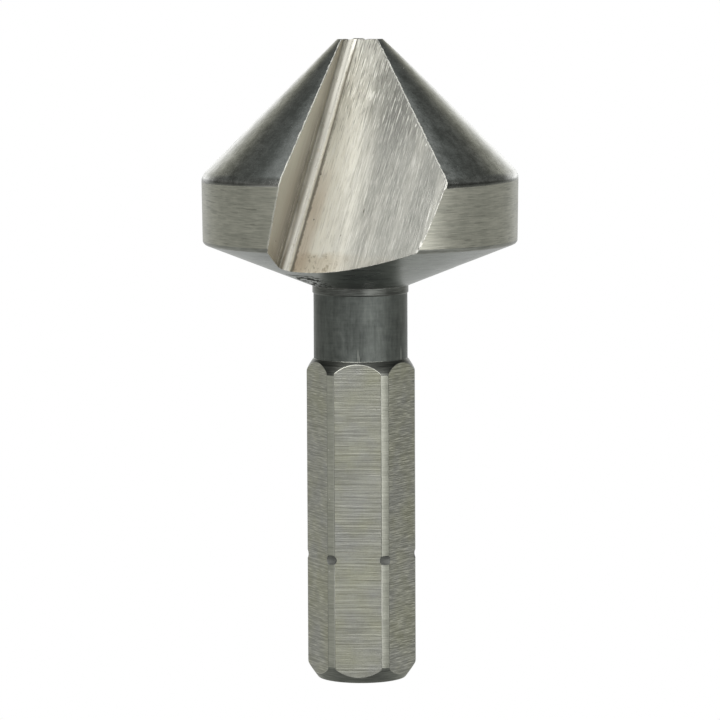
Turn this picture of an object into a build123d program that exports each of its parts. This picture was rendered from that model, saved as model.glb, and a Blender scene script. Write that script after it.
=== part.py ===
from build123d import *
from math import cos, sin, tan, radians
import os

# Three-flute 90 degree countersink bit with a quarter-inch hexagon bit shank.
# One piece of hardened and ground tool steel.
#
# Frame, in millimetres: the origin is the centre of the flat end of the shank,
# +Z runs up the axis to the cutting tip. The front flute opens towards -Y.

# ---------------------------------------------------------------- dimensions
# overall
overall_length = 41.6          # shank end face to tip flat
cone_angle = 90.0              # included angle of the cutting cone

# cutting head
head_diameter = 20.5           # over the cutting corners
tip_flat_diameter = 3.25       # blunt flat at the tip
corner_radius = 0.9            # cone to band, at every land
band_bottom_z = 28.46          # lower edge of the cylindrical band, sharp
band_bottom_diameter = 20.40   # the band tapers back very slightly
band_edge_radius = 0.30        # band to back cone
back_cone_slope = 21.5         # degrees from the horizontal

# neck
collar_diameter = 6.24         # short raised ring under the head
collar_bottom_z = 25.17
collar_step = 0.06
neck_diameter = 6.10
neck_bottom_z = 20.95

# hexagon shank
across_flats = 6.35            # quarter inch
corner_diameter = 7.04         # the six corners are rounded to this bar size
shank_twist = -4.0             # front flat turned about Z from facing -Y
top_chamfer_angle = 31.0       # degrees from the axis
top_chamfer_crown = 0.03       # the turned chamfers are very slightly crowned
top_corner_radius = 0.45       # chamfer to corner bar, at the neck
end_face_diameter = 5.74
end_chamfer_height = 0.94
end_chamfer_crown = 0.015
end_corner_radius = 0.4        # chamfer to corner bar, at the end

# ball-detent notches, one in each corner of the hexagon, cut by a small wheel
notch_z = 8.08
notch_depth = 0.13
notch_width = 0.61             # along the shank, at the corner
notch_wheel_radius = 1.5

# flutes: straight grooves with two flat walls and a rounded bottom
flute_count = 3
groove_run_x = 0.2947          # sideways run of the groove per mm of height
groove_run_y = 0.2941          # inward run of the groove per mm of height
flute_ref_z = 32.6             # level at which the two walls are laid down
rake_offset = -2.8472          # cutting-side wall: x = rake_offset + rake_slope * y
rake_slope = 0.2488
wide_offset = -4.7838          # heel-side wall: y = wide_offset + wide_slope * x
wide_slope = -0.7364
groove_radius = 0.55           # fillet along the bottom of the groove

# relief: each land falls away from its cutting edge to its heel
land_relief = 0.16             # radial drop at the heel, on the cone only
cutting_edge_azimuth = -30.4   # degrees from -Y, positive towards +X
heel_azimuth = -87.3

# ---------------------------------------------------------------- derived
head_r = head_diameter / 2
half_angle = radians(cone_angle / 2)
tip_r = tip_flat_diameter / 2
apex_z = overall_length + tip_r / tan(half_angle)
cone_foot_z = apex_z - head_r / tan(half_angle)       # cone meets the band, sharp
corner_tangent = corner_radius * tan((radians(90) - half_angle) / 2)
band_top_z = cone_foot_z - corner_tangent             # end of the rounded corner
neck_r = neck_diameter / 2
collar_r = collar_diameter / 2
band_bottom_r = band_bottom_diameter / 2
band_taper = (head_r - band_bottom_r) / (band_top_z - band_bottom_z)
collar_top_z = band_bottom_z - (band_bottom_r - collar_r) * tan(radians(back_cone_slope))
corner_r = corner_diameter / 2
end_r = end_face_diameter / 2


def direction(azimuth_deg):
    """Unit vector in the plan, azimuth measured from -Y towards +X."""
    a = radians(azimuth_deg)
    return Vector(sin(a), -cos(a), 0)


def turned(points):
    """Solid of revolution about Z from (radius, height) points."""
    outline = Polyline(*[(r, 0, z) for r, z in points], close=True)
    return revolve(make_face(outline), axis=Axis.Z)


# ---------------------------------------------------------------- flutes
run = Vector(groove_run_x, groove_run_y, 1)
along = run.normalized()
rake_normal = Vector(1, -rake_slope, -groove_run_x + rake_slope * groove_run_y).normalized()
wide_normal = Vector(wide_slope, -1, -wide_slope * groove_run_x + groove_run_y).normalized()
# the two walls meet here at the reference level
y0 = (wide_offset + wide_slope * rake_offset) / (1 - wide_slope * rake_slope)
x0 = rake_offset + rake_slope * y0
bottom = Vector(x0, y0, flute_ref_z)
up_rake = along.cross(rake_normal).normalized()
if up_rake.Y > 0:
    up_rake = up_rake * -1
up_wide = wide_normal.cross(along).normalized()
if up_wide.X < 0:
    up_wide = up_wide * -1
reach = 26
wall_angle = up_rake.get_angle(up_wide)
setback = groove_radius / tan(radians(wall_angle / 2))
centre = bottom + (up_rake + up_wide).normalized() * (groove_radius / sin(radians(wall_angle / 2)))
deep = centre - (up_rake + up_wide).normalized() * groove_radius
outline = [
    Line(bottom + up_rake * reach, bottom + up_rake * setback),
    ThreePointArc(bottom + up_rake * setback, deep, bottom + up_wide * setback),
    Line(bottom + up_wide * setback, bottom + up_wide * reach),
    Line(bottom + up_wide * reach, bottom + (up_rake + up_wide) * reach),
    Line(bottom + (up_rake + up_wide) * reach, bottom + up_rake * reach),
]
section = make_face(Curve() + outline)
flute = Pos(*(along * -14)) * extrude(section, amount=44, dir=along)

# ---------------------------------------------------------------- cutting head
# Each land is turned about its own slightly offset centre, which makes the cone
# fall away from the cutting edge to the heel. The band stays on the true axis.
mid_land = (cutting_edge_azimuth + heel_azimuth) / 2
half_span = radians(abs(cutting_edge_azimuth - heel_azimuth) / 2)
eccentricity = land_relief / (2 * sin(half_span))
shrink = eccentricity * sin(half_span)

band = turned([
    (0, collar_top_z),
    (collar_r, collar_top_z),
    (band_bottom_r, band_bottom_z),
    (head_r + (overall_length - band_top_z) * band_taper, overall_length),
    (0, overall_length),
])
lower_edge = band.edges().filter_by(GeomType.CIRCLE).sort_by(
    lambda e: abs(e.center().Z - band_bottom_z) + abs(e.radius - band_bottom_r))[0]
band = fillet(lower_edge, band_edge_radius)

lands = []
for i in range(flute_count):
    turn = i * 360 / flute_count
    offset = direction(mid_land + 90 + turn) * eccentricity
    relieved_apex = apex_z - shrink / tan(half_angle)
    cone_base_z = 20.0
    swing = Rot(0, 0, mid_land + turn)             # start of turning, along the offset
    cone = Pos(offset.X, offset.Y, 0) * swing * turned([
        (0, cone_base_z),
        ((relieved_apex - cone_base_z) * tan(half_angle), cone_base_z),
        (0, relieved_apex),
    ])
    land = (swing * band) & cone
    foot = [e for e in land.edges()
            if abs((e @ 0.5).Z - cone_foot_z) < 0.6 and e.length > head_r]
    land = fillet(foot, corner_radius)
    # a 120 degree sector, whose sides lie inside the two neighbouring flutes
    a, b = direction(turn - 120), direction(turn)
    m1, m2 = direction(turn - 90), direction(turn - 30)
    sector = extrude(make_face(Polyline(
        (0, 0, 20), a * 16 + Vector(0, 0, 20), m1 * 24 + Vector(0, 0, 20),
        m2 * 24 + Vector(0, 0, 20), b * 16 + Vector(0, 0, 20), close=True)), amount=25, dir=(0, 0, 1))
    land = land & sector
    # the flute ahead of its cutting edge, and the one behind its heel
    land = land - Rot(0, 0, turn) * flute
    land = land - Rot(0, 0, turn - 360 / flute_count) * flute
    lands.append(land)
head = lands[0] + lands[1] + lands[2]

# ---------------------------------------------------------------- neck and shank
chamfer_run = (corner_r - neck_r) / tan(radians(top_chamfer_angle))


def crowned(r0, z0, r1, z1, crown):
    """Turned chamfer from (r0, z0) up to (r1, z1), bowed outwards by crown."""
    length = ((r1 - r0) ** 2 + (z1 - z0) ** 2) ** 0.5
    out_r, out_z = (z1 - z0) / length * crown, -(r1 - r0) / length * crown
    return ThreePointArc((r0, 0, z0), ((r0 + r1) / 2 + out_r, 0, (z0 + z1) / 2 + out_z), (r1, 0, z1))


def rise(*points):
    """Straight runs through (radius, height) points."""
    return Polyline(*[(r, 0, z) for r, z in points])


profile = [
    rise((0, 0), (end_r, 0)),
    crowned(end_r, 0, corner_r, end_chamfer_height, end_chamfer_crown),
    rise((corner_r, end_chamfer_height), (corner_r, neck_bottom_z - chamfer_run)),
    crowned(corner_r, neck_bottom_z - chamfer_run, neck_r, neck_bottom_z, top_chamfer_crown),
    rise((neck_r, neck_bottom_z), (neck_r, collar_bottom_z),
         (collar_r, collar_bottom_z + collar_step), (collar_r, collar_top_z + 0.5),
         (0, collar_top_z + 0.5), (0, 0)),
]
body = revolve(make_face(Curve() + profile), axis=Axis.Z)

# soften the two ends of the hexagon, where the chamfers meet the corner bar
for level, radius in ((end_chamfer_height, end_corner_radius),
                      (neck_bottom_z - chamfer_run, top_corner_radius)):
    soft = [e for e in body.edges().filter_by(GeomType.CIRCLE)
            if abs(e.radius - corner_r) < 1e-4 and abs(e.center().Z - level) < 0.01]
    body = fillet(soft, radius)

# six flats
hexagon = extrude(Rot(0, 0, shank_twist) * RegularPolygon(
    across_flats / 2, 6, major_radius=False), amount=neck_bottom_z + 1.3)
hexagon = Pos(0, 0, -1) * hexagon
around = Pos(0, 0, -1) * Cylinder(
    corner_r + 2, neck_bottom_z + 1.3, align=(Align.CENTER, Align.CENTER, Align.MIN))
body = body - (around - hexagon)

# one notch in each corner, too shallow to reach far across the flats
notch_r = (notch_width ** 2 / 4 + notch_depth ** 2) / (2 * notch_depth)
for k in range(6):
    centre_line = direction(shank_twist + 30 + 60 * k) * (corner_r - notch_depth + notch_wheel_radius)
    wheel = Pos(centre_line.X, centre_line.Y, notch_z) * Torus(notch_wheel_radius - notch_r, notch_r)
    body = body - wheel

bit = (body + head).solid()

# ---------------------------------------------------------------- output
os.makedirs("parts", exist_ok=True)
export_step(bit, "parts/countersink_bit.step")
print("volume mm3", round(bit.volume, 1), "faces", len(bit.faces()), "valid", bit.is_valid)
box = bit.bounding_box()
print("box", box.min, box.max)
print("wall angle", round(wall_angle, 2), "band top", round(band_top_z, 3), "collar top", round(collar_top_z, 3))
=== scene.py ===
import bpy, bmesh, math
import numpy as np
from mathutils import Vector, Matrix


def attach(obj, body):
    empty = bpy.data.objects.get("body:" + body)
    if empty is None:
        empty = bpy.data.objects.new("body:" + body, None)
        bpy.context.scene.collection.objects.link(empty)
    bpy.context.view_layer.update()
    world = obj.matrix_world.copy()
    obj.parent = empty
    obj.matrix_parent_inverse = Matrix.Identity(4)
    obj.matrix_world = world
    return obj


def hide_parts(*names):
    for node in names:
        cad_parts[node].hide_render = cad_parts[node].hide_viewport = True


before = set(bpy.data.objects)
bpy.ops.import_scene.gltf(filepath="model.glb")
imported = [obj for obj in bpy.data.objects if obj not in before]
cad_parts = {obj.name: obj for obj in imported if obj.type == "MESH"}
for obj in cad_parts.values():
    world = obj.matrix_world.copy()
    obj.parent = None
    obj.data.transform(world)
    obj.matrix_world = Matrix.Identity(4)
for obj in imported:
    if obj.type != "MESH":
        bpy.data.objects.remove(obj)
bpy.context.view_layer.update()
scene = bpy.context.scene
MM = 0.001


# ------------------------------------------------------------------ node helpers
class Graph:
    """Small helper that adds nodes to a tree and links them."""

    def __init__(self, tree):
        self.t = tree
        self.nodes = tree.nodes
        self.links = tree.links

    def node(self, kind, **props):
        n = self.nodes.new(kind)
        for k, v in props.items():
            setattr(n, k, v)
        return n

    def put(self, socket, value):
        if hasattr(value, "is_output"):
            self.links.new(value, socket)
        elif isinstance(value, (tuple, list, Vector)) and len(value) == 3 and len(socket.default_value) == 4:
            socket.default_value = (*value, 1.0)
        else:
            socket.default_value = value

    def m(self, op, a, b=None, c=None, clamp=False):
        n = self.node("ShaderNodeMath", operation=op, use_clamp=clamp)
        self.put(n.inputs[0], a)
        if b is not None:
            self.put(n.inputs[1], b)
        if c is not None:
            self.put(n.inputs[2], c)
        return n.outputs[0]

    def add(self, a, b):
        return self.m("ADD", a, b)

    def sub(self, a, b):
        return self.m("SUBTRACT", a, b)

    def mul(self, a, b):
        return self.m("MULTIPLY", a, b)

    def mad(self, a, b, c):
        return self.m("MULTIPLY_ADD", a, b, c)

    def v(self, op, a, b=None, scale=None):
        n = self.node("ShaderNodeVectorMath", operation=op)
        self.put(n.inputs[0], a)
        if b is not None:
            self.put(n.inputs[1], b)
        if scale is not None:
            self.put(n.inputs["Scale"], scale)
        return n.outputs["Value"] if op in ("DOT_PRODUCT", "LENGTH", "DISTANCE") else n.outputs["Vector"]

    def sep(self, vec):
        n = self.node("ShaderNodeSeparateXYZ")
        self.put(n.inputs[0], vec)
        return n.outputs[0], n.outputs[1], n.outputs[2]

    def comb(self, x, y, z):
        n = self.node("ShaderNodeCombineXYZ")
        for s, val in zip(n.inputs, (x, y, z)):
            self.put(s, val)
        return n.outputs[0]

    def step(self, val, lo, hi, a=0.0, b=1.0, kind="SMOOTHSTEP"):
        n = self.node("ShaderNodeMapRange", interpolation_type=kind)
        n.clamp = True if kind == "LINEAR" else n.clamp
        self.put(n.inputs["Value"], val)
        self.put(n.inputs["From Min"], lo)
        self.put(n.inputs["From Max"], hi)
        self.put(n.inputs["To Min"], a)
        self.put(n.inputs["To Max"], b)
        return n.outputs["Result"]

    def noise(self, vec, scale, detail=2.0, rough=0.5, lac=2.0, dims="3D", w=None, kind="FBM", distortion=0.0):
        n = self.node("ShaderNodeTexNoise", noise_dimensions=dims, noise_type=kind)
        if dims != "1D":
            self.put(n.inputs["Vector"], vec)
        if dims in ("1D", "4D"):
            self.put(n.inputs["W"], w if w is not None else 0.0)
        self.put(n.inputs["Scale"], scale)
        self.put(n.inputs["Detail"], detail)
        self.put(n.inputs["Roughness"], rough)
        self.put(n.inputs["Lacunarity"], lac)
        self.put(n.inputs["Distortion"], distortion)
        return n.outputs["Fac"]

    def mix(self, fac, a, b, blend="MIX"):
        n = self.node("ShaderNodeMix", data_type="RGBA", blend_type=blend)
        n.clamp_factor = True
        self.put(n.inputs[0], fac)
        self.put(n.inputs[6], a)
        self.put(n.inputs[7], b)
        return n.outputs[2]

    def mixf(self, fac, a, b):
        n = self.node("ShaderNodeMix", data_type="FLOAT")
        self.put(n.inputs[0], fac)
        self.put(n.inputs[2], a)
        self.put(n.inputs[3], b)
        return n.outputs[0]

    def ramp(self, fac, stops, interp="LINEAR"):
        n = self.node("ShaderNodeValToRGB")
        n.color_ramp.interpolation = interp
        els = n.color_ramp.elements
        while len(els) > 1:
            els.remove(els[-1])
        for i, (p, c) in enumerate(stops):
            e = els[0] if i == 0 else els.new(p)
            e.position = p
            e.color = (*c, 1.0) if isinstance(c, (tuple, list)) else (c, c, c, 1.0)
        self.put(n.inputs[0], fac)
        return n.outputs[0]


# ------------------------------------------------------------------ camera
cam_data = bpy.data.cameras.new("camera")
cam_data.sensor_width = 36.0
cam_data.lens = 202.55
cam_data.clip_start = 0.01
cam_data.clip_end = 50.0
cam = bpy.data.objects.new("camera", cam_data)
scene.collection.objects.link(cam)
cam.location = (-0.046 * MM, -261.90 * MM, 48.34 * MM)
cam.rotation_mode = "QUATERNION"
cam.rotation_quaternion = (Matrix.Rotation(math.radians(90 - 6.009), 3, "X")
                           @ Matrix.Rotation(math.radians(-0.254), 3, "Z")).to_quaternion()
scene.camera = cam

# ------------------------------------------------------------------ studio
scene.view_settings.view_transform = "Standard"

world = bpy.data.worlds.new("studio")
world.use_nodes = True
scene.world = world
g = Graph(world.node_tree)
g.nodes.clear()
out = g.node("ShaderNodeOutputWorld")
tc = g.node("ShaderNodeTexCoord").outputs["Generated"]
x, y, z = g.sep(g.v("NORMALIZE", tc))
elev = g.mul(g.m("ARCSINE", z), 180 / math.pi)
azim = g.mul(g.m("ARCTAN2", x, y), 180 / math.pi)      # 0 is straight behind the bit, +90 to its right
up = g.m("DIVIDE", elev, 90.0, clamp=True)
# behind the bit: a white card that fades into a dark studio, with a dim cool ceiling
behind = g.ramp(up, [(0.0, (1.25, 1.25, 1.24)), (0.11, (1.02, 1.02, 0.99)), (0.178, (0.66, 0.66, 0.615)),
                     (0.222, (0.47, 0.47, 0.42)), (0.256, (0.37, 0.37, 0.32)), (0.311, (0.25, 0.25, 0.21)),
                     (0.356, (0.165, 0.165, 0.142)), (0.41, (0.112, 0.114, 0.10)), (0.478, (0.085, 0.09, 0.084)),
                     (0.54, (0.092, 0.10, 0.094)), (0.60, (0.20, 0.212, 0.205)), (0.65, (0.29, 0.305, 0.295)),
                     (1.0, (0.30, 0.32, 0.31))])
# at the sides and in front: dark above a low strip
front = g.ramp(up, [(0.0, (0.34, 0.34, 0.32)), (0.04, (0.24, 0.24, 0.225)), (0.10, (0.115, 0.116, 0.108)),
                    (0.30, (0.085, 0.09, 0.084)), (0.478, (0.085, 0.09, 0.084)), (0.54, (0.092, 0.10, 0.094)),
                    (0.60, (0.20, 0.212, 0.205)), (0.65, (0.29, 0.305, 0.295)), (1.0, (0.30, 0.32, 0.31))])
side = g.step(g.m("ABSOLUTE", azim), 26, 48, 0.0, 1.0)
base = g.mix(side, behind, front)
# softbox on the left, wrapping round to the front
dx = g.m("ABSOLUTE", g.sub(azim, -151))
soft = g.mul(g.step(dx, 22, 29, 1.0, 0.0), g.mul(g.step(elev, 8, 20, 0.0, 1.0), g.step(elev, 40, 54, 1.0, 0.0)))
base = g.mix(soft, base, (4.1, 4.05, 3.84))
# low softbox at the right, in front
dx = g.m("ABSOLUTE", g.sub(azim, 147))
low = g.mul(g.step(dx, 22, 28, 1.0, 0.0), g.step(elev, 26, 44, 1.0, 0.0))
base = g.mix(low, base, (3.2, 3.16, 3.0))
# key light high in front
dk = g.m("ABSOLUTE", g.sub(180.0, g.m("ABSOLUTE", azim)))
key = g.mul(g.step(dk, 30, 55, 1.0, 0.0), g.mul(g.step(elev, 40, 50, 0.0, 1.0), g.step(elev, 70, 80, 1.0, 0.0)))
base = g.mix(key, base, (1.5, 1.5, 1.46))
bg = g.node("ShaderNodeBackground")
g.put(bg.inputs["Color"], base)
bg.inputs["Strength"].default_value = 1.0
white = g.node("ShaderNodeBackground")
white.inputs["Color"].default_value = (1, 1, 1, 1)
white.inputs["Strength"].default_value = 1.0
mixer = g.node("ShaderNodeMixShader")
lp = g.node("ShaderNodeLightPath")
g.put(mixer.inputs[0], lp.outputs["Is Camera Ray"])
g.put(mixer.inputs[1], bg.outputs[0])
g.put(mixer.inputs[2], white.outputs[0])
g.put(out.inputs["Surface"], mixer.outputs[0])


def disc(name, radius, z, segments=96):
    me = bpy.data.meshes.new(name)
    bm = bmesh.new()
    bmesh.ops.create_circle(bm, cap_ends=True, segments=segments, radius=radius)
    for v_ in bm.verts:
        v_.co.z = z
    bm.to_mesh(me)
    bm.free()
    o = bpy.data.objects.new(name, me)
    scene.collection.objects.link(o)
    return o


floor = disc("floor", 6.0, 0.0)
fm = bpy.data.materials.new("floor")
fm.use_nodes = True
g = Graph(fm.node_tree)
g.nodes.clear()
out = g.node("ShaderNodeOutputMaterial")
# white for the camera; in reflections it is darker in front of the bit than behind it
tc = g.node("ShaderNodeTexCoord").outputs["Object"]
fx, fy, fz = g.sep(tc)
around = g.mul(g.m("ABSOLUTE", g.m("ARCTAN2", fx, fy)), 180 / math.pi)
level = g.mul(g.step(around, 24, 46, 1.0, 0.0), g.step(g.m("SQRT", g.add(g.mul(fx, fx), g.mul(fy, fy))), 0.01, 0.05))
ahead = g.step(around, 105, 160, 0.0, 1.0)
seen = g.mix(ahead, (0.58, 0.58, 0.53), (0.37, 0.37, 0.35))
seen = g.mix(level, seen, (0.74, 0.74, 0.725))
em = g.node("ShaderNodeEmission")
g.put(em.inputs["Color"], seen)
em.inputs["Strength"].default_value = 1.0
plain = g.node("ShaderNodeEmission")
plain.inputs["Color"].default_value = (1, 1, 1, 1)
plain.inputs["Strength"].default_value = 1.0
lp = g.node("ShaderNodeLightPath")
mx = g.node("ShaderNodeMixShader")
g.put(mx.inputs[0], lp.outputs["Is Camera Ray"])
g.put(mx.inputs[1], em.outputs[0])
g.put(mx.inputs[2], plain.outputs[0])
g.put(out.inputs["Surface"], mx.outputs[0])
floor.data.materials.append(fm)

# ------------------------------------------------------------------ the bit's surfaces, in mm
OVERALL, HEAD_R, CORNER_RAD = 41.6, 10.25, 0.9
BAND_Z, BAND_R, BAND_EDGE, BACK_SLOPE = 28.46, 10.20, 0.30, math.radians(21.5)
COLLAR_R, COLLAR_Z, STEP, NECK_R, NECK_Z = 3.12, 25.17, 0.06, 3.05, 20.95
FLAT, BAR_R, TWIST = 3.175, 3.52, -4.0
APEX_Z = OVERALL + 1.625
BAND_TOP = APEX_Z - HEAD_R - CORNER_RAD * math.tan(math.radians(22.5))
TAPER = (HEAD_R - BAND_R) / (BAND_TOP - BAND_Z)
COLLAR_TOP = BAND_Z - (BAND_R - COLLAR_R) * math.tan(BACK_SLOPE)
EDGE_AZ, HEEL_AZ, RELIEF = -30.4, -87.3, 0.16
MID_AZ, HALF = (EDGE_AZ + HEEL_AZ) / 2, math.radians((EDGE_AZ - HEEL_AZ) / 2)
ECC = RELIEF / (2 * math.sin(HALF))
CONE_TOP = APEX_Z - ECC * math.sin(HALF)
GROOVE_R = 0.55


def azv(deg):
    a = math.radians(deg)
    return np.array([math.sin(a), -math.cos(a), 0.0])


def unit(v):
    v = np.asarray(v, float)
    return v / np.linalg.norm(v)


RUN_X, RUN_Y = 0.2947, 0.2941
ALONG = unit([RUN_X, RUN_Y, 1])
N_RAKE = unit([1, -0.2488, -RUN_X + 0.2488 * RUN_Y])
N_WIDE = unit([-0.7364, -1, 0.7364 * RUN_X + RUN_Y])
_y0 = (-4.7838 + -0.7364 * -2.8472) / (1 + 0.7364 * 0.2488)
BOTTOM = np.array([-2.8472 + 0.2488 * _y0, _y0, 32.6])
UP_RAKE = unit(np.cross(ALONG, N_RAKE))
UP_RAKE = -UP_RAKE if UP_RAKE[1] > 0 else UP_RAKE
UP_WIDE = unit(np.cross(N_WIDE, ALONG))
UP_WIDE = -UP_WIDE if UP_WIDE[0] < 0 else UP_WIDE
WALLS = math.acos(float(UP_RAKE @ UP_WIDE))
CENTRE = BOTTOM + unit(UP_RAKE + UP_WIDE) * (GROOVE_R / math.sin(WALLS / 2))
SETBACK = GROOVE_R / math.tan(WALLS / 2)


def spin(p, deg):
    """Points turned about Z."""
    a = math.radians(deg)
    c, s = math.cos(a), math.sin(a)
    return np.stack([c * p[..., 0] - s * p[..., 1], s * p[..., 0] + c * p[..., 1], p[..., 2]], -1)


def polar(p):
    r = np.hypot(p[..., 0], p[..., 1])
    u = np.stack([p[..., 0], p[..., 1]], -1) / np.maximum(r, 1e-9)[..., None]
    return r, u


def rz_normal(u, nr, nz):
    return np.stack([u[..., 0] * nr, u[..., 1] * nr, nz * np.ones_like(u[..., 0])], -1)


def flat_surface(n, through):
    n = unit(n)
    d0 = float(n @ through)
    return lambda p: (p @ n - d0, np.broadcast_to(n, p.shape).copy())


def turned_line(r0, z0, r1, z1):
    ln = math.hypot(r1 - r0, z1 - z0)
    nr, nz = (z1 - z0) / ln, -(r1 - r0) / ln

    def f(p):
        r, u = polar(p)
        return (r - r0) * nr + (p[..., 2] - z0) * nz, rz_normal(u, nr, nz)
    return f


def turned_arc(rc, zc, rad):
    def f(p):
        r, u = polar(p)
        a, b_ = r - rc, p[..., 2] - zc
        q = np.maximum(np.hypot(a, b_), 1e-9)
        return q - rad, rz_normal(u, a / q, b_ / q)
    return f


def land_cone(i):
    off = azv(MID_AZ + 90 + 120 * i) * ECC

    def f(p):
        r, u = polar(p - off)
        c = math.sqrt(0.5)
        return (r - (CONE_TOP - p[..., 2])) * c, rz_normal(u, c, c)
    return f


def land_corner(i):
    off = azv(MID_AZ + 90 + 120 * i) * ECC

    def f(p):
        r, u = polar(p)
        rc = HEAD_R - CORNER_RAD
        zc = CONE_TOP + u @ off[:2] - CORNER_RAD * math.sqrt(2) - rc
        a, b_ = r - rc, p[..., 2] - zc
        q = np.maximum(np.hypot(a, b_), 1e-9)
        return q - CORNER_RAD, rz_normal(u, a / q, b_ / q)
    return f


def groove(i):
    def f(p):
        q = spin(p, -120 * i) - CENTRE
        rad = q - (q @ ALONG)[..., None] * ALONG
        ln = np.maximum(np.linalg.norm(rad, axis=-1), 1e-9)
        return ln - GROOVE_R, spin(-rad / ln[..., None], 120 * i)
    return f


def notch(k):
    depth, half_w, wheel = 0.13, 0.305, 1.5
    tube = (half_w ** 2 + depth ** 2) / (2 * depth)
    w = azv(TWIST + 30 + 60 * k) * (BAR_R - depth + wheel) + np.array([0, 0, 8.08])

    def f(p):
        q = p - w
        r, u = polar(q)
        a, b_ = r - (wheel - tube), q[..., 2]
        ln = np.maximum(np.hypot(a, b_), 1e-9)
        return ln - tube, rz_normal(u, -a / ln, -b_ / ln)
    return f


def crown(r0, z0, r1, z1, s):
    ln = math.hypot(r1 - r0, z1 - z0)
    nr, nz = (z1 - z0) / ln, -(r1 - r0) / ln
    rad = (ln * ln / 4 + s * s) / (2 * s)
    return (r0 + r1) / 2 + nr * (s - rad), (z0 + z1) / 2 + nz * (s - rad), rad


def crown_fillet(cr, cz, rad, fr, near):
    d = math.sqrt((rad - fr) ** 2 - (BAR_R - fr - cr) ** 2)
    z_ = min((cz + d, cz - d), key=lambda t: abs(t - near))
    return BAR_R - fr, z_, fr


END_CROWN = crown(2.87, 0, BAR_R, 0.94, 0.015)
TOP_RUN = (BAR_R - NECK_R) / math.tan(math.radians(31))
TOP_CROWN = crown(BAR_R, NECK_Z - TOP_RUN, NECK_R, NECK_Z, 0.03)
_nb, _nk = unit([1, -TAPER]), np.array([math.sin(BACK_SLOPE), -math.cos(BACK_SLOPE)])
_p0 = np.array([BAND_R, BAND_Z])
_c = np.linalg.solve(np.array([_nb, _nk]), np.array([_nb @ _p0, _nk @ _p0]) - BAND_EDGE)

# name, surface, lowest and highest z of its faces, region
SURF = []
for i in range(3):
    SURF += [
        (f"rake{i}", flat_surface(spin(N_RAKE, 120 * i), spin(BOTTOM, 120 * i)), 24, 42, "rake"),
        (f"wide{i}", flat_surface(spin(N_WIDE, 120 * i), spin(BOTTOM, 120 * i)), 24, 42, "wide"),
        (f"groove{i}", groove(i), 24, 42, "groove"),
        (f"cone{i}", land_cone(i), 32.4, 41.61, "cone"),
        (f"corner{i}", land_corner(i), 32.2, 33.6, "corner"),
    ]
SURF += [
    ("band", turned_line(BAND_R, BAND_Z, HEAD_R, BAND_TOP), 28.3, 32.9, "band"),
    ("band_edge", turned_arc(_c[0], _c[1], BAND_EDGE), 28.0, 29.0, "band_edge"),
    ("back_cone", turned_line(COLLAR_R, COLLAR_TOP, BAND_R, BAND_Z), 25.6, 28.6, "back_cone"),
    ("collar", turned_line(COLLAR_R, COLLAR_Z, COLLAR_R, COLLAR_TOP), 25.1, 25.7, "collar"),
    ("step", turned_line(NECK_R, COLLAR_Z, COLLAR_R, COLLAR_Z + STEP), 25.1, 25.3, "collar"),
    ("neck", turned_line(NECK_R, NECK_Z, NECK_R, COLLAR_Z), 20.9, 25.2, "neck"),
    ("top_chamfer", turned_arc(*TOP_CROWN), 20.0, 21.0, "chamfer"),
    ("top_soft", turned_arc(*crown_fillet(*TOP_CROWN, 0.45, NECK_Z - TOP_RUN)), 19.8, 20.6, "chamfer"),
    ("end_chamfer", turned_arc(*END_CROWN), -0.01, 1.1, "end_chamfer"),
    ("end_soft", turned_arc(*crown_fillet(*END_CROWN, 0.4, 0.94)), 0.5, 1.4, "end_chamfer"),
    ("bar", turned_line(BAR_R, 0, BAR_R, 20), 0.8, 20.3, "hex_corner"),
    ("end_face", flat_surface([0, 0, -1], [0, 0, 0]), -0.01, 0.01, "end_face"),
    ("tip", flat_surface([0, 0, 1], [0, 0, OVERALL]), 41.59, 41.61, "tip"),
]
for k in range(6):
    n_ = azv(TWIST + 60 * k)
    SURF.append((f"flat{k}", flat_surface(n_, n_ * FLAT), 0.3, 20.9, "hex_flat"))
    SURF.append((f"notch{k}", notch(k), 7.6, 8.5, "notch"))
REGIONS = ["rake", "wide", "groove", "cone", "corner", "band", "band_edge", "back_cone", "collar", "neck",
           "chamfer", "end_chamfer", "hex_corner", "end_face", "tip", "hex_flat", "notch", "edge"]
FLATS = {"rake", "wide", "end_face", "tip", "hex_flat"}


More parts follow.
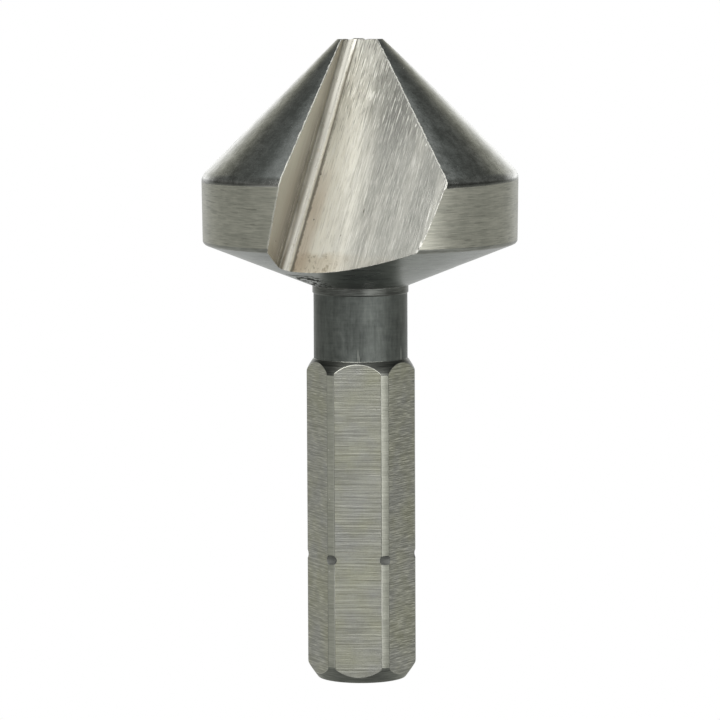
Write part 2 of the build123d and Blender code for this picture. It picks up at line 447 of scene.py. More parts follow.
def build_bit(node):
    """The bit as one mesh: the CAD node's faces, each put on its exact surface, with every sharp edge
    broken by a narrow rounded land and exact surface normals."""
    bm = bmesh.new()
    bm.from_mesh(node.data)
    bmesh.ops.remove_doubles(bm, verts=bm.verts[:], dist=2e-7)
    bm.verts.ensure_lookup_table()
    bm.faces.ensure_lookup_table()
    co = np.array([v_.co[:] for v_ in bm.verts]) * 1000
    tri = np.array([[v_.index for v_ in f.verts] for f in bm.faces])
    p = co[tri]
    mid = p.mean(1)
    fn = np.cross(p[:, 1] - p[:, 0], p[:, 2] - p[:, 0])
    fn /= np.maximum(np.linalg.norm(fn, axis=1), 1e-12)[:, None]
    score = np.full((len(SURF), len(tri)), 1e9)
    for s, (name, surf, z0, z1, reg) in enumerate(SURF):
        d, _ = surf(p)
        _, n = surf(mid)
        a = (n * fn).sum(-1)
        q = np.abs(d).max(1) + 0.02 * (1 - a) + np.where(a < 0.7, 5.0, 0.0)
        q += np.where((mid[:, 2] < z0) | (mid[:, 2] > z1), 5.0, 0.0)
        score[s] = q
    cls = score.argmin(0)
    worst = score.min(0)
    print("surface fit: worst", round(float(worst.max()), 4), "over 0.02:", int((worst > 0.02).sum()), "of", len(tri))
    for s, (name, *_r) in enumerate(SURF):
        if not (cls == s).any():
            print("no faces on", name)
    lay = bm.faces.layers.int.new("cls")
    for f, c in zip(bm.faces, cls):
        f[lay] = int(c) + 1
        f.material_index = 0

    # flat regions become single faces
    for s, (name, surf, z0, z1, reg) in enumerate(SURF):
        if reg in FLATS:
            faces = [f for f in bm.faces if f[lay] == s + 1]
            if len(faces) > 1:
                out_ = bmesh.ops.dissolve_faces(bm, faces=faces, use_verts=False)
                for f in out_["region"]:
                    f[lay] = s + 1

    def normal_at(c, q):
        return SURF[c - 1][1](np.asarray(q, float)[None] * 1000)[1][0]

    # curved faces lose the slivers that lie against their outlines
    def classes(v_):
        return frozenset(f[lay] for f in v_.link_faces)

    for _round in range(6):
        bm.normal_update()
        target, busy = {}, set()
        for e in bm.edges:
            a, b_ = e.verts
            ca, cb = classes(a), classes(b_)
            if e.calc_length() < 1.4 * EDGE_BREAK * MM and a not in busy and b_ not in busy:
                src, dst = (a, b_) if len(ca) <= len(cb) else (b_, a)
                if classes(src) <= classes(dst):
                    target[src] = dst
                    busy.update((src, dst))
                    busy.update(w for ee in src.link_edges for w in ee.verts)
        for f in bm.faces:
            if len(f.verts) != 3 or SURF[f[lay] - 1][4] in FLATS:
                continue
            for e in f.edges:
                if len({g_[lay] for g_ in e.link_faces}) < 2:
                    continue
                o_ = next(v_ for v_ in f.verts if v_ not in e.verts)
                if len(classes(o_)) > 1 or o_ in busy:
                    continue
                u_ = e.verts[1].co - e.verts[0].co
                h_ = (o_.co - e.verts[0].co).cross(u_).length / max(u_.length, 1e-12)
                if h_ < 2.0 * EDGE_BREAK * MM:
                    dst = min(e.verts, key=lambda v_: (v_.co - o_.co).length)
                    if dst in busy:
                        continue
                    target[o_] = dst
                    busy.update((o_, dst))
                    busy.update(w for ee in o_.link_edges for w in ee.verts)
        if not target:
            break
        bmesh.ops.weld_verts(bm, targetmap=target)
    print("slivers: rounds", _round, "left", len(target))

    sharp = []
    for e in bm.edges:
        if len(e.link_faces) != 2:
            continue
        a, c = e.link_faces[0][lay], e.link_faces[1][lay]
        if a == c:
            continue
        if "notch" in (SURF[a - 1][4], SURF[c - 1][4]):
            continue
        m_ = (e.verts[0].co + e.verts[1].co) / 2
        if normal_at(a, m_) @ normal_at(c, m_) < math.cos(math.radians(14)):
            sharp.append(e)
    verts = list({v_ for e in sharp for v_ in e.verts})
    made = bmesh.ops.bevel(bm, geom=sharp + verts, offset=EDGE_BREAK * MM, offset_type="OFFSET", segments=2,
                           profile=0.5, affect="EDGES", clamp_overlap=False, loop_slide=True, material=1)
    bm.verts.index_update()
    bm.faces.index_update()
    print("faces", len(bm.faces), "sharp edges", len(sharp), "open edges", sum(len(e.link_faces) != 2 for e in bm.edges))

    # exact normals, and where each face's marks run
    known = {}
    for v_ in bm.verts:
        seen = sorted({f[lay] for f in v_.link_faces if f.material_index == 0})
        if seen:
            ns = [normal_at(c, v_.co) for c in seen]
            n = sum(ns)
            ln = np.linalg.norm(n)
            known[v_.index] = n / ln if ln > 1e-6 else ns[0]
        else:
            known[v_.index] = np.array(v_.link_faces[0].normal[:]) if len(v_.link_faces) == 1 else unit(
                sum(np.array(f.normal[:]) for f in v_.link_faces))
    normals, lay_uv, aux_uv, mats = [], [], [], []
    for f in bm.faces:
        if f.material_index == 0:
            c = f[lay]
        else:
            near = [g_[lay] for e in f.edges for g_ in e.link_faces if g_.material_index == 0]
            c = near[0] if near else f[lay]
        reg = SURF[c - 1][4]
        if f.material_index != 0:
            reg = "hex_corner" if reg in ("hex_flat", "hex_corner", "end_chamfer", "chamfer", "end_face") else (
                reg if reg in ("neck", "collar", "notch") else "edge")
        mats.append(REGIONS.index(reg))
        name = SURF[c - 1][0]
        i = int(name[-1]) if name[-1].isdigit() else 0
        q = np.array([l.vert.co[:] for l in f.loops]) * 1000
        if f.material_index == 0:
            nn = SURF[c - 1][1](q)[1]
        else:
            nn = np.array([known[l.vert.index] for l in f.loops])
        normals.extend(nn)
        if SURF[c - 1][4] in ("wide", "rake", "groove"):
            t = spin(q, -120 * i) - BOTTOM
            across = UP_RAKE if SURF[c - 1][4] == "rake" else UP_WIDE
            lay_uv.extend(np.stack([t @ ALONG + 40 * i, t @ across], -1))
            aux_uv.extend(np.stack([t @ N_RAKE, t @ N_WIDE], -1))
        elif SURF[c - 1][4] == "hex_flat" and f.material_index == 0:
            a_ = math.radians(TWIST + 60 * i)
            t = q[:, 0] * math.cos(a_) + q[:, 1] * math.sin(a_)
            lay_uv.extend(np.stack([t + 10 * i, q[:, 2] + 3 * i], -1))
            aux_uv.extend(np.broadcast_to([COARSE[i], i], (len(q), 2)))
        else:
            # distance ahead of the cutting edge's rake wall, and from the heel's wide wall
            i = int(round((math.degrees(math.atan2(q[:, 0].mean(), -q[:, 1].mean())) - MID_AZ) / 120)) % 3
            t0, t1 = spin(q, -120 * i) - BOTTOM, spin(q, -120 * (i - 1)) - BOTTOM
            lay_uv.extend(np.stack([q[:, 0], q[:, 2]], -1))
            aux_uv.extend(np.stack([-(t0 @ N_RAKE), -(t1 @ N_WIDE)], -1))
    me = bpy.data.meshes.new("bit_body")
    bm.to_mesh(me)
    bm.free()
    for a in list(me.attributes):
        if a.name == "custom_normal":
            me.attributes.remove(a)
    me.materials.clear()
    me.polygons.foreach_set("material_index", mats)
    me.polygons.foreach_set("use_smooth", [True] * len(me.polygons))
    for name, data in (("lay", lay_uv), ("aux", aux_uv)):
        uv = me.uv_layers.new(name=name)
        uv.data.foreach_set("uv", np.array(data, np.float32).ravel())
    me.normals_split_custom_set([tuple(n) for n in np.array(normals)])
    me.update()
    o = bpy.data.objects.new("bit_body", me)
    scene.collection.objects.link(o)
    return o


EDGE_BREAK = 0.02
COARSE = [0.0, 1.0, 0.7, 0.3, 0.9, 0.65]          # how coarse the grinding is on each flat

bit = build_bit(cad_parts["countersink_bit"])
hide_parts("countersink_bit")
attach(bit, "root")

# ------------------------------------------------------------------ materials
class Steel:
    """One finish of the bit's steel: a node graph with the position in mm ready made."""

    def __init__(self, region, aniso=0.0, rotation=0.0, around=True):
        self.m = bpy.data.materials.new("steel_" + region)
        self.m.use_nodes = True
        self.g = g = Graph(self.m.node_tree)
        g.nodes.clear()
        self.out = g.node("ShaderNodeOutputMaterial")
        self.b = g.node("ShaderNodeBsdfPrincipled")
        g.links.new(self.b.outputs[0], self.out.inputs["Surface"])
        self.b.inputs["Metallic"].default_value = 1.0
        tc_ = g.node("ShaderNodeTexCoord")
        self.p = g.v("SCALE", tc_.outputs["Object"], scale=1000.0)
        self.x, self.y, self.z = g.sep(self.p)
        self.az = g.m("ARCTAN2", self.x, g.mul(self.y, -1.0))        # radians, 0 facing -Y
        if aniso:
            self.b.inputs["Anisotropic"].default_value = aniso
            self.b.inputs["Anisotropic Rotation"].default_value = rotation
            if around:
                t = g.node("ShaderNodeTangent", direction_type="RADIAL", axis="Z")
            else:
                t = g.node("ShaderNodeTangent", direction_type="UV_MAP", uv_map="lay")
            g.links.new(t.outputs[0], self.b.inputs["Tangent"])

    def uv(self, name):
        n = self.g.node("ShaderNodeUVMap", uv_map=name)
        u, v, _ = self.g.sep(n.outputs[0])
        return u, v

    def stretch(self, a, b, c=0.0):
        """Noise coordinates from two or three scaled lengths."""
        return self.g.comb(a, b, c)

    def rings(self, along, across, seed, detail=2.0, rough=0.5, dist=0.0):
        """Marks that run round the axis: long round it, narrow along it."""
        g = self.g
        vec = g.comb(g.mad(self.x, along, seed), g.mad(self.y, along, seed * 0.7), g.mad(self.z, across, seed * 1.3))
        return g.noise(vec, 1.0, detail, rough, distortion=dist)

    def lines(self, u, v, along, across, seed, detail=2.0, rough=0.5, dist=0.0):
        g = self.g
        vec = g.comb(g.mad(u, along, seed), g.mad(v, across, seed * 1.7), seed)
        return g.noise(vec, 1.0, detail, rough, distortion=dist)

    def straight(self, v, freq, seed, detail=1.0, rough=0.5):
        """Perfectly straight lines, each at one level of v."""
        return self.g.noise(None, 1.0, detail, rough, dims="1D", w=self.g.mad(v, freq, seed))

    def blotch(self, scale, seed, detail=2.0, rough=0.5, dist=0.0):
        g = self.g
        return g.noise(g.v("ADD", self.p, (seed, seed * 0.37, -seed)), scale, detail, rough, distortion=dist)

    def centred(self, n, gain):
        """(n - 0.5) * gain"""
        return self.g.mad(n, gain, -0.5 * gain)

    def total(self, *terms):
        t = terms[0]
        for u in terms[1:]:
            t = self.g.add(t, u)
        return t

    def specks(self, scale, size, share, seed):
        """Small round spots, 1 inside, on a share of the cells."""
        g = self.g
        n = g.node("ShaderNodeTexVoronoi", feature="F1", distance="EUCLIDEAN")
        g.put(n.inputs["Vector"], g.v("ADD", self.p, (seed, -seed, seed * 2.1)))
        n.inputs["Scale"].default_value = scale
        r, gg, bb = g.sep(n.outputs["Color"])
        keep = g.m("LESS_THAN", r, share)
        rad = g.mad(gg, size * scale * 0.7, size * scale * 0.5)
        inside = g.step(g.m("DIVIDE", n.outputs["Distance"], rad), 0.5, 1.0, 1.0, 0.0)
        return g.mul(keep, inside)

    def spots(self, u, v, places):
        """Pits at fixed places on the surface: (u, v, half length, half width)."""
        g, t = self.g, None
        for pu, pv, lu, lv in places:
            d = g.m("SQRT", g.add(g.m("POWER", g.m("ABSOLUTE", g.mul(g.sub(u, pu), 1.0 / lu)), 2.0),
                                  g.m("POWER", g.m("ABSOLUTE", g.mul(g.sub(v, pv), 1.0 / lv)), 2.0)))
            s = g.step(d, 0.45, 1.1, 1.0, 0.0)
            t = s if t is None else g.m("MAXIMUM", t, s)
        return t

    def colour(self, c):
        self.g.put(self.b.inputs["Base Color"], c)

    def roughness(self, r):
        self.g.put(self.b.inputs["Roughness"], r)

    def bump(self, height, microns, strength=1.0):
        n = self.g.node("ShaderNodeBump")
        n.inputs["Strength"].default_value = strength
        n.inputs["Distance"].default_value = microns * 1e-6
        self.g.put(n.inputs["Height"], height)
        self.g.links.new(n.outputs[0], self.b.inputs["Normal"])


def edge_wear_and_highlight(s, with_heel=True):
    """1 in a hair line along the cutting edge, and the heel, of each land: a painted highlight line, partly edge wear.
    """
    g = s.g
    a, h = s.uv("aux")
    wob = s.blotch(3.2, 11.0, 3.0, 0.6)
    width = g.mad(wob, 0.22, -0.03)
    cut = g.step(g.sub(a, width), -0.02, 0.03, 1.0, 0.0)
    heel = g.step(g.sub(h, g.mul(width, 1.1)), -0.02, 0.03, 1.0, 0.0)
    return g.m("MAXIMUM", cut, heel) if with_heel else cut


made = {}

# the wide flute face: bright satin, ground along the groove
s = Steel("wide", 0.45, 0.25, around=False)
g = s.g
u, v = s.uv("lay")
s1 = s.lines(u, v, 0.30, 5.0, 3.1, 2.0, 0.55)
s2 = s.lines(u, v, 0.55, 13.0, 7.7, 2.0, 0.6)
s3 = s.lines(u, v, 1.3, 26.0, 12.3, 2.0, 0.6)
broad = s.lines(u, v, 0.10, 0.75, 5.0, 2.0, 0.5)
mott = s.blotch(1.1, 2.0, 3.0, 0.6)
grain = s.blotch(8.0, 27.0, 2.0, 0.6)
fac = s.total(s.centred(s1, 1.4), s.centred(s2, 2.2), s.centred(s3, 2.6), s.centred(broad, 0.8), s.centred(mott, 0.6),
              s.centred(grain, 0.25))
tone = g.m("ADD", g.add(fac, g.step(s.z, 28.5, 33.0, 0.40, 0.0)), 0.68, clamp=True)
# painted light: the face lighter and warmer towards the groove
warm_light_near_groove = g.step(v, 1.4, 6.2, 1.0, 0.0)
warm_light_near_groove = g.m("ADD", warm_light_near_groove, s.centred(broad, 1.2), clamp=True)
light = g.mix(warm_light_near_groove, (0.49, 0.495, 0.475), (1.0, 0.995, 0.94))
dark = g.mix(warm_light_near_groove, (0.36, 0.365, 0.35), (0.86, 0.85, 0.785))
col = g.mix(tone, dark, light)
shine = g.mul(g.step(s.lines(u, v, 0.70, 11.0, 21.0, 1.0, 0.5), 0.60, 0.66), 0.8)
shine2 = g.mul(g.step(s.lines(u, v, 1.4, 19.0, 51.0, 1.0, 0.5), 0.62, 0.67), 0.7)
col = g.mix(g.m("MAXIMUM", shine, shine2), col, g.mix(warm_light_near_groove, (0.66, 0.66, 0.64), (1.0, 1.0, 0.97)))
nicks = g.mul(g.step(s.lines(u, v, 1.0, 12.0, 31.0, 2.0, 0.6), 0.66, 0.74), 0.5)
col = g.mix(nicks, col, (0.26, 0.26, 0.25))
crown_ = g.step(s.z, 32.5, 39.0, 0.0, 0.56)
col = g.mix(crown_, col, (0.36, 0.36, 0.345), "MULTIPLY")
torn = s.lines(u, v, 0.9, 9.0, 81.0, 2.0, 0.55)
upper = g.step(s.z, 34.0, 38.5, 0.25, 1.0)
col = g.mix(g.mul(upper, g.mul(g.step(torn, 0.56, 0.64), 0.75)), col, (0.22, 0.22, 0.205))
col = g.mix(g.mul(upper, g.mul(g.step(torn, 0.44, 0.37), 0.70)), col, (1.0, 1.0, 0.96))
soil_ = g.mul(g.step(g.add(s.z, s.centred(s.blotch(1.6, 33.0, 3.0, 0.6), 0.9)), 27.75, 28.35, 1.0, 0.0), g.step(v, 3.0, 5.5, 1.0, 0.25))
col = g.mix(g.mul(soil_, 0.38), col, (0.46, 0.36, 0.22))
grime = g.mul(g.step(s.blotch(2.6, 35.0, 3.0, 0.65), 0.54, 0.66), soil_)
col = g.mix(g.mul(grime, 0.55), col, (0.22, 0.18, 0.12))
lip = g.mul(g.step(g.add(v, s.centred(broad, 0.8)), 1.5, 2.3, 1.0, 0.0), g.step(s.z, 31.0, 34.5, 1.0, 0.0))
col = g.mix(g.mul(lip, 0.40), col, (0.62, 0.48, 0.36))
# the ragged dark line where the face runs into the groove's rounded bottom: painted shade
reach_ = g.step(s.z, 33.0, 39.0, 1.0, 0.0)
bead = s.lines(u, v, 3.2, 2.0, 61.0, 2.0, 0.6)
line = g.step(g.sub(g.sub(v, SETBACK), g.mad(bead, 0.26, -0.06)), 0.0, 0.09, 1.0, 0.0)
col = g.mix(g.mul(line, g.mad(reach_, 0.66, 0.05)), col, (0.16, 0.145, 0.115))
burr = s.spots(u, v, [(-3.3, 10.22, 0.28, 0.10), (-3.85, 10.10, 0.26, 0.10), (-4.15, 10.3, 0.10, 0.13),
                      (0.50, 10.88, 0.10, 0.08), (3.18, 8.5, 0.12, 0.05), (4.39, 7.3, 0.14, 0.05), (-1.2, 10.2, 0.9, 0.04),
                      (36.3, 10.1, 0.25, 0.07), (41.5, 9.7, 0.12, 0.06), (77.0, 10.3, 0.3, 0.06)])
col = g.mix(g.mul(burr, 0.9), col, (1.0, 1.0, 0.98))
pits = s.spots(u, v, [(-3.62, 10.13, 0.05, 0.05), (0.506, 0.97, 0.06, 0.075), (-2.517, 1.444, 0.055, 0.07), (-1.575, 5.132, 0.17, 0.045),
                      (-3.35, 3.9, 0.09, 0.035), (41.2, 3.2, 0.10, 0.05), (38.1, 6.4, 0.06, 0.06),
                      (82.3, 4.4, 0.08, 0.06), (79.0, 2.1, 0.12, 0.04)])
col = g.mix(g.mul(pits, 0.85), col, (0.16, 0.15, 0.12))
s.colour(col)
s.roughness(g.m("ADD", 0.50, s.centred(s2, 0.26), clamp=True))
s.bump(s.total(g.mul(s1, 0.5), g.mul(s2, 0.6), g.mul(s3, 0.22), g.mul(shine, 0.12), g.mul(shine2, 0.1),
               g.mul(pits, -1.0), g.mul(nicks, -0.2)), 19)
made["wide"] = s

# the rake face: smoother, brownish, darker towards the groove
s = Steel("rake", 0.3, 0.25, around=False)
g = s.g
u, v = s.uv("lay")
r1 = s.lines(u, v, 0.25, 3.0, 4.4, 2.0, 0.5)
r2 = s.lines(u, v, 0.6, 9.0, 9.2, 2.0, 0.55)
mott = s.blotch(0.9, 7.0, 3.0, 0.6)
fac = s.total(s.centred(r1, 0.9), s.centred(r2, 1.1), s.centred(mott, 0.7))
tone = g.m("ADD", fac, 0.5, clamp=True)
deep = g.step(v, 1.2, 5.2, 1.0, 0.0)
deep = g.m("ADD", deep, s.centred(mott, 0.5), clamp=True)
light = g.mix(deep, (0.50, 0.482, 0.425), (0.42, 0.392, 0.325))
dark = g.mix(deep, (0.38, 0.365, 0.315), (0.31, 0.286, 0.23))
col = g.mix(tone, dark, light)
low_ = g.ramp(g.mad(s.z, 0.1, -2.8), [(0.1, 0.55), (0.5, 0.43), (0.8, 0.30), (1.0, 0.12)])
low_, _fg, _fb = g.sep(low_)
col = g.mix(low_, col, (0.16, 0.15, 0.12))
# a dark band along the foot of the face by the groove, strongest in the lower half: painted shade
foot_ = g.ramp(g.mul(g.add(v, s.centred(r1, 0.35)), 0.2), [
    (0.17, 0.06), (0.225, 0.10), (0.275, 0.66), (0.335, 0.90), (0.42, 0.55), (0.60, 0.18), (0.86, 0.0)])
foot_, _fg, _fb = g.sep(foot_)
col = g.mix(g.mul(foot_, g.step(s.z, 33.5, 39.0, 1.0, 0.2)), col, (0.11, 0.10, 0.08))
scored = s.straight(v, 8.0, 3.3, 1.0, 0.5)
there = g.mul(g.step(s.lines(u, v, 0.9, 1.6, 37.0, 3.0, 0.65), 0.42, 0.56), g.mul(g.step(v, 1.7, 2.5, 1.0, 0.0), g.step(s.z, 34.5, 39.0, 1.0, 0.0)))
col = g.mix(g.mul(g.mul(g.step(scored, 0.52, 0.60), there), 0.75), col, (0.62, 0.60, 0.53))
col = g.mix(g.mul(g.mul(g.step(scored, 0.47, 0.38), there), 0.80), col, (0.10, 0.085, 0.06))
pits = s.spots(u, v, [(-5.047, 3.445, 0.07, 0.20), (36.4, 4.0, 0.06, 0.15), (78.5, 3.0, 0.09, 0.12)])
col = g.mix(g.mul(pits, 0.7), col, (0.12, 0.11, 0.09))
s.colour(col)
s.roughness(g.m("ADD", 0.40, s.centred(r2, 0.25), clamp=True))
s.bump(s.total(g.mul(r1, 0.5), g.mul(r2, 0.4), g.mul(pits, -1.0)), 12)
made["rake"] = s

# the rounded bottom of the groove: painted shade against the rake face, a painted highlight line towards the wide face
s = Steel("groove", 0.5, 0.25, around=False)
g = s.g
u, v = s.uv("lay")
dr, dw = s.uv("aux")
w1 = s.lines(u, v, 0.4, 4.0, 14.4, 2.0, 0.5)
w2 = s.lines(u, v, 1.2, 14.0, 19.2, 2.0, 0.55)
w3 = s.lines(u, v, 2.6, 3.0, 63.0, 2.0, 0.6)
tone = g.m("ADD", s.total(s.centred(w1, 0.9), s.centred(w2, 0.9)), 0.5, clamp=True)
high_ = g.step(s.z, 35.0, 39.0, 0.0, 1.0)
# painted shade across the groove and a painted highlight line near the wide face
groove_shade_highlight_ramp = g.ramp(g.mul(dw, g.mad(w1, 0.8, 0.60)), [
    (0.0, 0.24), (0.008, 0.50), (0.020, 0.90), (0.034, 0.88), (0.052, 0.56), (0.085, 0.42), (0.13, 0.31), (0.20, 0.21),
    (0.26, 0.155), (0.39, 0.14), (0.48, 0.21), (0.58, 0.32), (0.78, 0.40)])
groove_shade_highlight, _fg, _fb = g.sep(groove_shade_highlight_ramp)
groove_shade_highlight = g.mixf(g.mul(high_, 0.75), groove_shade_highlight, 0.36)
col = g.mix(tone, (0.70, 0.69, 0.645), (0.90, 0.895, 0.85))
col = g.mix(groove_shade_highlight, (0.03, 0.027, 0.02), col)
chat = g.mul(g.step(w3, 0.60, 0.68), 0.35)
col = g.mix(chat, col, (0.14, 0.13, 0.10))
s.colour(col)
s.roughness(g.m("ADD", 0.30, s.centred(w2, 0.2), clamp=True))
s.bump(s.total(g.mul(w1, 0.5), g.mul(w2, 0.5), g.mul(chat, -0.3)), 10)
made["groove"] = s


def land(region, light, dark, rough, marks=1.0, bump=5.0, aniso=0.25):
    s = Steel(region, aniso, 0.25)
    g = s.g
    c1 = s.rings(0.35, 2.2, 1.7, 2.0, 0.5)
    c2 = s.rings(0.9, 9.0, 6.1, 2.0, 0.55)
    c3 = s.rings(2.0, 22.0, 8.9, 1.0, 0.5)
    mott = s.blotch(0.75, 3.0, 3.0, 0.6, 0.3)
    cloud = g.noise(g.comb(g.mad(s.x, 1.6, 3.0), g.mad(s.y, 1.6, 5.0), g.mad(s.z, 0.8, 7.0)), 1.0, 3.0, 0.65, distortion=0.3)
    grain = s.blotch(9.0, 5.0, 2.0, 0.6)
    fac = s.total(s.centred(c1, 0.4 * marks), s.centred(c2, 0.4 * marks), s.centred(c3, 0.4 * marks),
                  s.centred(mott, 1.6), s.centred(cloud, 2.4), s.centred(grain, 1.8))
    tone = g.m("ADD", fac, 0.5, clamp=True)
    col = g.mix(tone, dark, light)
    if region == "corner":
        # painted shade: a thin dark line at the foot of the rounded corner, over the band
        hair = g.step(g.add(s.z, s.centred(cloud, 0.08)), BAND_TOP + 0.05, BAND_TOP + 0.20, 1.0, 0.0)
        col = g.mix(g.mul(hair, 0.85), col, (0.10, 0.106, 0.098))
    dust = g.m("MAXIMUM", s.specks(0.9, 0.050, 0.45, 4.0), s.specks(2.2, 0.028, 0.40, 9.0))
    col = g.mix(g.mul(dust, 0.8), col, (0.95, 0.95, 0.93))
    a_, h_ = s.uv("aux")
    # painted light: the land lighter towards its cutting edge, most in the lower part
    light_near_cutting_edge = g.mul(g.step(g.add(a_, s.centred(cloud, 1.6)), 0.2, 3.2, 1.0, 0.0), g.step(s.z, 34.0, 39.0, 1.0, 0.3))
    col = g.mix(g.mul(light_near_cutting_edge, 0.42), col, (0.93, 0.94, 0.935))
    # painted highlight line along the cutting edge and heel, partly edge wear
    line = edge_wear_and_highlight(s)
    col = g.mix(line, col, (1.0, 1.0, 0.97))
    s.colour(col)
    r = g.m("ADD", rough, s.total(s.centred(c2, 0.12), s.centred(mott, 0.08)), clamp=True)
    r = g.m("MAXIMUM", r, g.mul(g.m("MAXIMUM", dust, line), 0.75))
    s.roughness(r)
    s.bump(s.total(g.mul(c1, 0.6), g.mul(c2, 0.3), g.mul(c3, 0.15), g.mul(dust, 0.8)), bump)
    made[region] = s


land("cone", (0.78, 0.785, 0.775), (0.42, 0.425, 0.41), 0.18)
land("corner", (0.80, 0.805, 0.795), (0.40, 0.405, 0.39), 0.22)


def ground(region, light, dark, rough, aniso, amp=1.0, bump=10.0, fine=1.0, extra=None):
    """Surface ground across the axis: fine level lines, broken and uneven."""
    s = Steel(region, aniso, 0.25)
    g = s.g
    c1 = s.rings(0.25, 1.4, 2.9, 2.0, 0.5)
    c2 = s.rings(0.5, 9.0 * fine, 5.3, 2.0, 0.6)
    c3 = s.rings(1.1, 19.0 * fine, 7.1, 2.0, 0.6)
    mott = s.blotch(0.7, 13.0, 3.0, 0.6, 0.4)
    fac = s.total(s.centred(c1, 0.6), s.centred(c2, 2.0 * amp), s.centred(c3, 2.0 * amp), s.centred(mott, 1.0))
    tone = g.m("ADD", fac, 0.5, clamp=True)
    col = g.mix(tone, dark, light)
    cut = g.mul(g.step(s.rings(0.5, 9.0 * fine, 33.0, 1.0, 0.5), 0.64, 0.70), 0.5)
    col = g.mix(cut, col, tuple(c * 0.55 for c in dark))
    s.dull = None
    if extra:
        col = extra(s, col)
    s.colour(col)
    r = g.m("ADD", rough, s.centred(c2, 0.2), clamp=True)
    h = s.total(g.mul(c1, 0.2), g.mul(c2, 0.6), g.mul(c3, 0.4), g.mul(cut, -0.4))
    if s.dull is not None:
        g.put(s.b.inputs["Metallic"], g.mad(s.dull, -0.9, 1.0))
        r = g.m("MAXIMUM", r, g.mul(s.dull, 0.85))
        h = g.mad(s.dull, -2.5, h)
    s.roughness(r)
    s.bump(h, bump)
    made[region] = s
    return s


def band_extra(s, col):
    # painted highlight line along the cutting edge on the band, partly edge wear
    return s.g.mix(s.g.mul(edge_wear_and_highlight(s, False), 0.8), col, (0.72, 0.72, 0.69))


def back_extra(s, col):
    g = s.g
    deg = g.mul(s.az, 180 / math.pi)
    cuts = g.noise(g.comb(g.mad(s.z, 2.0, g.mul(deg, 0.10)), g.mad(s.z, 9.0, g.mul(deg, -0.10)), 3.0), 1.0, 2.0, 0.6, distortion=0.3)
    near = g.mul(g.step(g.m("ABSOLUTE", g.add(deg, 46.0)), 11, 22, 1.0, 0.0), g.step(s.z, 26.4, 26.9, 1.0, 0.0))
    near2 = g.mul(g.step(g.m("ABSOLUTE", g.sub(deg, 8.0)), 3, 8, 1.0, 0.0), g.mul(g.step(s.z, 26.15, 26.4, 1.0, 0.0), 0.7))
    near3 = g.mul(g.step(g.m("ABSOLUTE", g.sub(deg, 142.0)), 4, 12, 1.0, 0.0), g.step(s.z, 26.3, 26.9, 1.0, 0.0))
    m_ = g.mul(g.step(cuts, 0.46, 0.53), g.m("MAXIMUM", near, g.m("MAXIMUM", near2, near3)))
    s.dull = m_
    return g.mix(g.mul(m_, 0.9), col, (0.02, 0.021, 0.02))


ground("band", (0.53, 0.53, 0.48), (0.35, 0.355, 0.32), 0.40, 0.55, extra=band_extra)
ground("band_edge", (0.34, 0.35, 0.34), (0.20, 0.205, 0.195), 0.32, 0.4)
ground("back_cone", (0.285, 0.307, 0.298), (0.185, 0.20, 0.193), 0.30, 0.5, extra=back_extra)
ground("collar", (0.19, 0.20, 0.195), (0.085, 0.09, 0.087), 0.32, 0.5)
ground("chamfer", (0.185, 0.192, 0.182), (0.09, 0.094, 0.089), 0.36, 0.4)
# painted shade: the end chamfer's dark base stands for the shaded floor it faces near the contact
ground("end_chamfer", (0.25, 0.262, 0.243), (0.145, 0.153, 0.142), 0.36, 0.3)
ground("end_face", (0.45, 0.45, 0.42), (0.30, 0.30, 0.28), 0.42, 0.3)
ground("tip", (0.62, 0.62, 0.60), (0.40, 0.40, 0.385), 0.35, 0.0)

# the six flats: level grinding lines, coarser on some than on others
s = Steel("hex_flat", 0.6, 0.25)
g = s.g
u, v = s.uv("lay")
coarse, seed = s.uv("aux")
f1 = s.lines(u, v, 0.25, 2.2, 3.7, 2.0, 0.5)
f2 = s.straight(v, 7.0, 8.3, 1.0, 0.5)
f3 = s.straight(v, 15.0, 115.1, 1.0, 0.5)
m2 = g.step(s.lines(u, v, 0.35, 5.0, 23.9, 2.0, 0.6), 0.38, 0.62)
m3 = g.step(s.lines(u, v, 0.55, 9.0, 71.3, 2.0, 0.6), 0.36, 0.60)
f4 = s.lines(u, v, 1.0, 15.0, 23.9, 1.0, 0.5)
f5 = s.lines(u, v, 0.30, 17.0, 91.0, 1.0, 0.5)
mott = s.blotch(0.7, 23.0, 3.0, 0.6, 0.4)
grain = s.blotch(8.0, 15.0, 2.0, 0.6)
fine = s.total(g.mul(s.centred(f2, 2.6), m2), g.mul(s.centred(f3, 2.8), m3))
rough_part = g.mul(s.centred(f4, 3.6), coarse)
fac = s.total(s.centred(f1, 0.3), fine, s.centred(f5, 1.6), s.centred(mott, 0.8), s.centred(grain, 0.6), rough_part)
tone = g.m("ADD", fac, 0.5, clamp=True)
hue = g.m("ADD", 0.5, s.centred(s.blotch(0.45, 41.0, 3.0, 0.6), 3.2), clamp=True)
light = g.mix(hue, (0.51, 0.515, 0.50), (0.525, 0.53, 0.45))
dark = g.mix(hue, (0.32, 0.325, 0.31), (0.33, 0.333, 0.27))
col = g.mix(tone, dark, light)
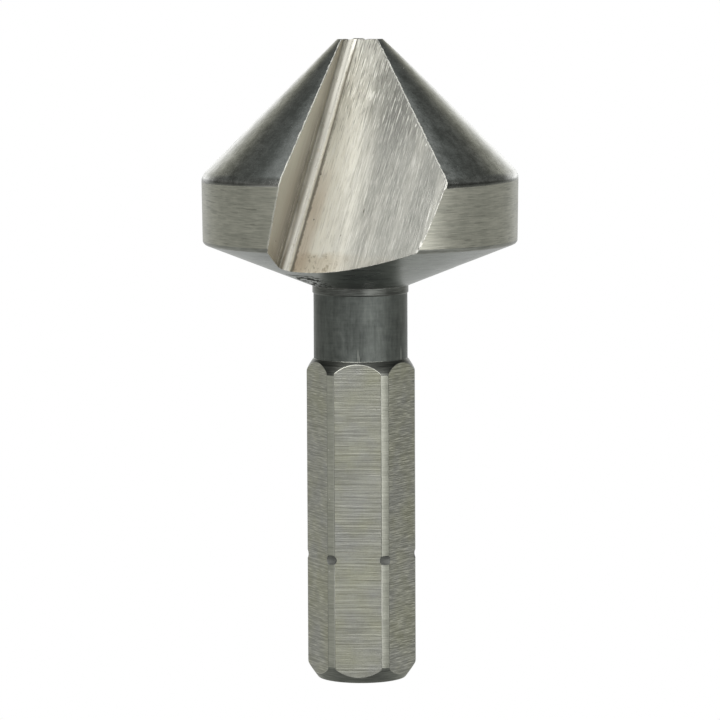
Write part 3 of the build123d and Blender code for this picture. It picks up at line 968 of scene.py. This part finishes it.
# painted shade: the first flat, the one facing -Y, darker all over
col = g.mix(g.step(coarse, 0.0, 0.3, 1.0, 0.0), col, (0.86, 0.865, 0.86), "MULTIPLY")
glint = g.mul(g.mul(g.step(f4, 0.60, 0.66), coarse), 0.55)
col = g.mix(glint, col, (0.80, 0.80, 0.72))
cut = g.mul(g.step(s.lines(u, v, 0.26, 9.0, 44.0, 1.0, 0.5), 0.67, 0.72), 0.55)
col = g.mix(cut, col, (0.24, 0.24, 0.20))
s.colour(col)
s.roughness(g.m("ADD", 0.42, s.centred(f1, 0.15), clamp=True))
s.bump(s.total(g.mul(f1, 0.15), g.mul(g.mul(f2, 0.5), m2), g.mul(g.mul(f3, 0.3), m3), g.mul(g.mul(f4, 1.5), coarse),
               g.mul(cut, -0.3)), 12)
made["hex_flat"] = s

# the six rounded corners of the bar
s = Steel("hex_corner", 0.3, 0.25)
g = s.g
k1 = s.rings(0.8, 0.6, 3.3, 3.0, 0.6)
k2 = s.rings(1.0, 14.0, 6.6, 2.0, 0.6)
fac = s.total(s.centred(k1, 0.9), s.centred(k2, 2.0))
tone = g.m("ADD", fac, 0.5, clamp=True)
col = g.mix(tone, (0.31, 0.318, 0.285), (0.50, 0.51, 0.465))
# degrees from the middle of the corner; one side of each corner is painted bright: rubbed wear with a painted
# highlight
turn_ = g.mul(g.add(g.mul(s.az, 180 / math.pi), 4.0 - 30.0), 1 / 60)
nth = g.m("ROUND", turn_)
off_ = g.mul(g.mul(g.sub(turn_, nth), 60.0), g.m("COSINE", g.mul(nth, math.pi)))
rub_and_highlight = g.step(g.add(off_, s.centred(k1, 1.8)), -4.2, -2.6, 1.0, 0.0)
col = g.mix(g.mul(rub_and_highlight, 0.5), col, (0.60, 0.61, 0.58))
abs_ = g.m("ABSOLUTE", off_)
col = g.mix(g.mul(g.step(abs_, 4.05, 4.35, 0.0, 0.75), g.step(abs_, 4.8, 5.6, 1.0, 0.0)), col, (0.18, 0.185, 0.17))
col = g.mix(g.step(g.add(abs_, s.centred(k1, 3.0)), 5.5, 7.5, 0.0, 0.45), col, (0.62, 0.63, 0.60))
# painted shade: one half of each corner on the bit's right side darker
shaded_side = g.step(off_, -2.8, 2.0, 0.0, 0.48)
col = g.mix(g.mul(shaded_side, g.step(nth, -0.5, 0.5, 0.0, 1.0)), col, (0.14, 0.145, 0.125))
dust = s.specks(2.2, 0.04, 0.35, 14.0)
col = g.mix(g.mul(dust, 0.7), col, (0.9, 0.9, 0.9))
s.colour(col)
s.roughness(g.m("ADD", 0.34, s.centred(k1, 0.15), clamp=True))
s.bump(s.total(g.mul(k1, 0.5), g.mul(k2, 0.3)), 8)
made["hex_corner"] = s

# the neck: dark from hardening, mottled, with faint upright streaks
s = Steel("neck", 0.3, 0.25)
g = s.g
n1 = g.noise(g.comb(g.mul(s.x, 1.6), g.mul(s.y, 1.6), g.mul(s.z, 0.45)), 1.0, 3.0, 0.6, distortion=0.3)
n2 = s.rings(0.5, 6.0, 6.9, 2.0, 0.6)
n3 = s.blotch(2.2, 17.0, 3.0, 0.65)
n4 = g.noise(g.comb(g.mul(s.x, 5.0), g.mul(s.y, 5.0), g.mul(s.z, 0.6)), 1.0, 2.0, 0.6)
fac = s.total(s.centred(n1, 1.5), s.centred(n2, 0.5), s.centred(n3, 0.8), s.centred(n4, 0.6))
tone = g.m("ADD", fac, 0.45, clamp=True)
col = g.mix(tone, (0.080, 0.088, 0.086), (0.182, 0.198, 0.193))
deg_ = g.mul(s.az, 180 / math.pi)
marks_ = s.spots(deg_, s.z, [(-3.2, 21.35, 1.1, 0.50), (58.7, 21.25, 2.2, 0.62), (-1.6, 21.1, 0.6, 0.3),
                             (118.0, 21.4, 1.6, 0.5), (-97.0, 21.3, 1.4, 0.55), (176.0, 23.4, 0.8, 0.7)])
col = g.mix(g.mul(marks_, 0.55), col, (0.36, 0.375, 0.36))
s.colour(col)
s.roughness(g.m("ADD", 0.43, s.centred(n3, 0.2), clamp=True))
s.bump(s.total(g.mul(n2, 0.4), g.mul(n3, 0.4)), 8)
made["neck"] = s

# the detent notches: rough, painted dark as shade in the recess
s = Steel("notch")
g = s.g
n1 = s.blotch(3.0, 9.0, 3.0, 0.6)
col = g.mix(g.m("ADD", 0.5, s.centred(n1, 1.5), clamp=True), (0.12, 0.124, 0.12), (0.25, 0.257, 0.25))
s.colour(col)
s.roughness(g.m("ADD", 0.68, s.centred(n1, 0.2), clamp=True))
s.bump(n1, 8)
made["notch"] = s

# broken edges, bright in patches: worn edge lands with a painted highlight
s = Steel("edge")
g = s.g
n1 = s.blotch(5.0, 19.0, 3.0, 0.7)
col = g.mix(g.m("ADD", 0.42, s.centred(n1, 4.0), clamp=True), (0.26, 0.26, 0.25), (0.92, 0.92, 0.90))
arc_ = g.mul(g.step(s.z, 19.0, 19.4), g.step(s.z, 20.7, 21.1, 1.0, 0.0))
col = g.mix(g.mul(arc_, 0.75), col, (0.26, 0.265, 0.25))
s.colour(col)
s.roughness(g.m("ADD", 0.35, s.centred(n1, 0.3), clamp=True))
made["edge"] = s

for reg in REGIONS:
    bit.data.materials.append(made[reg].m)
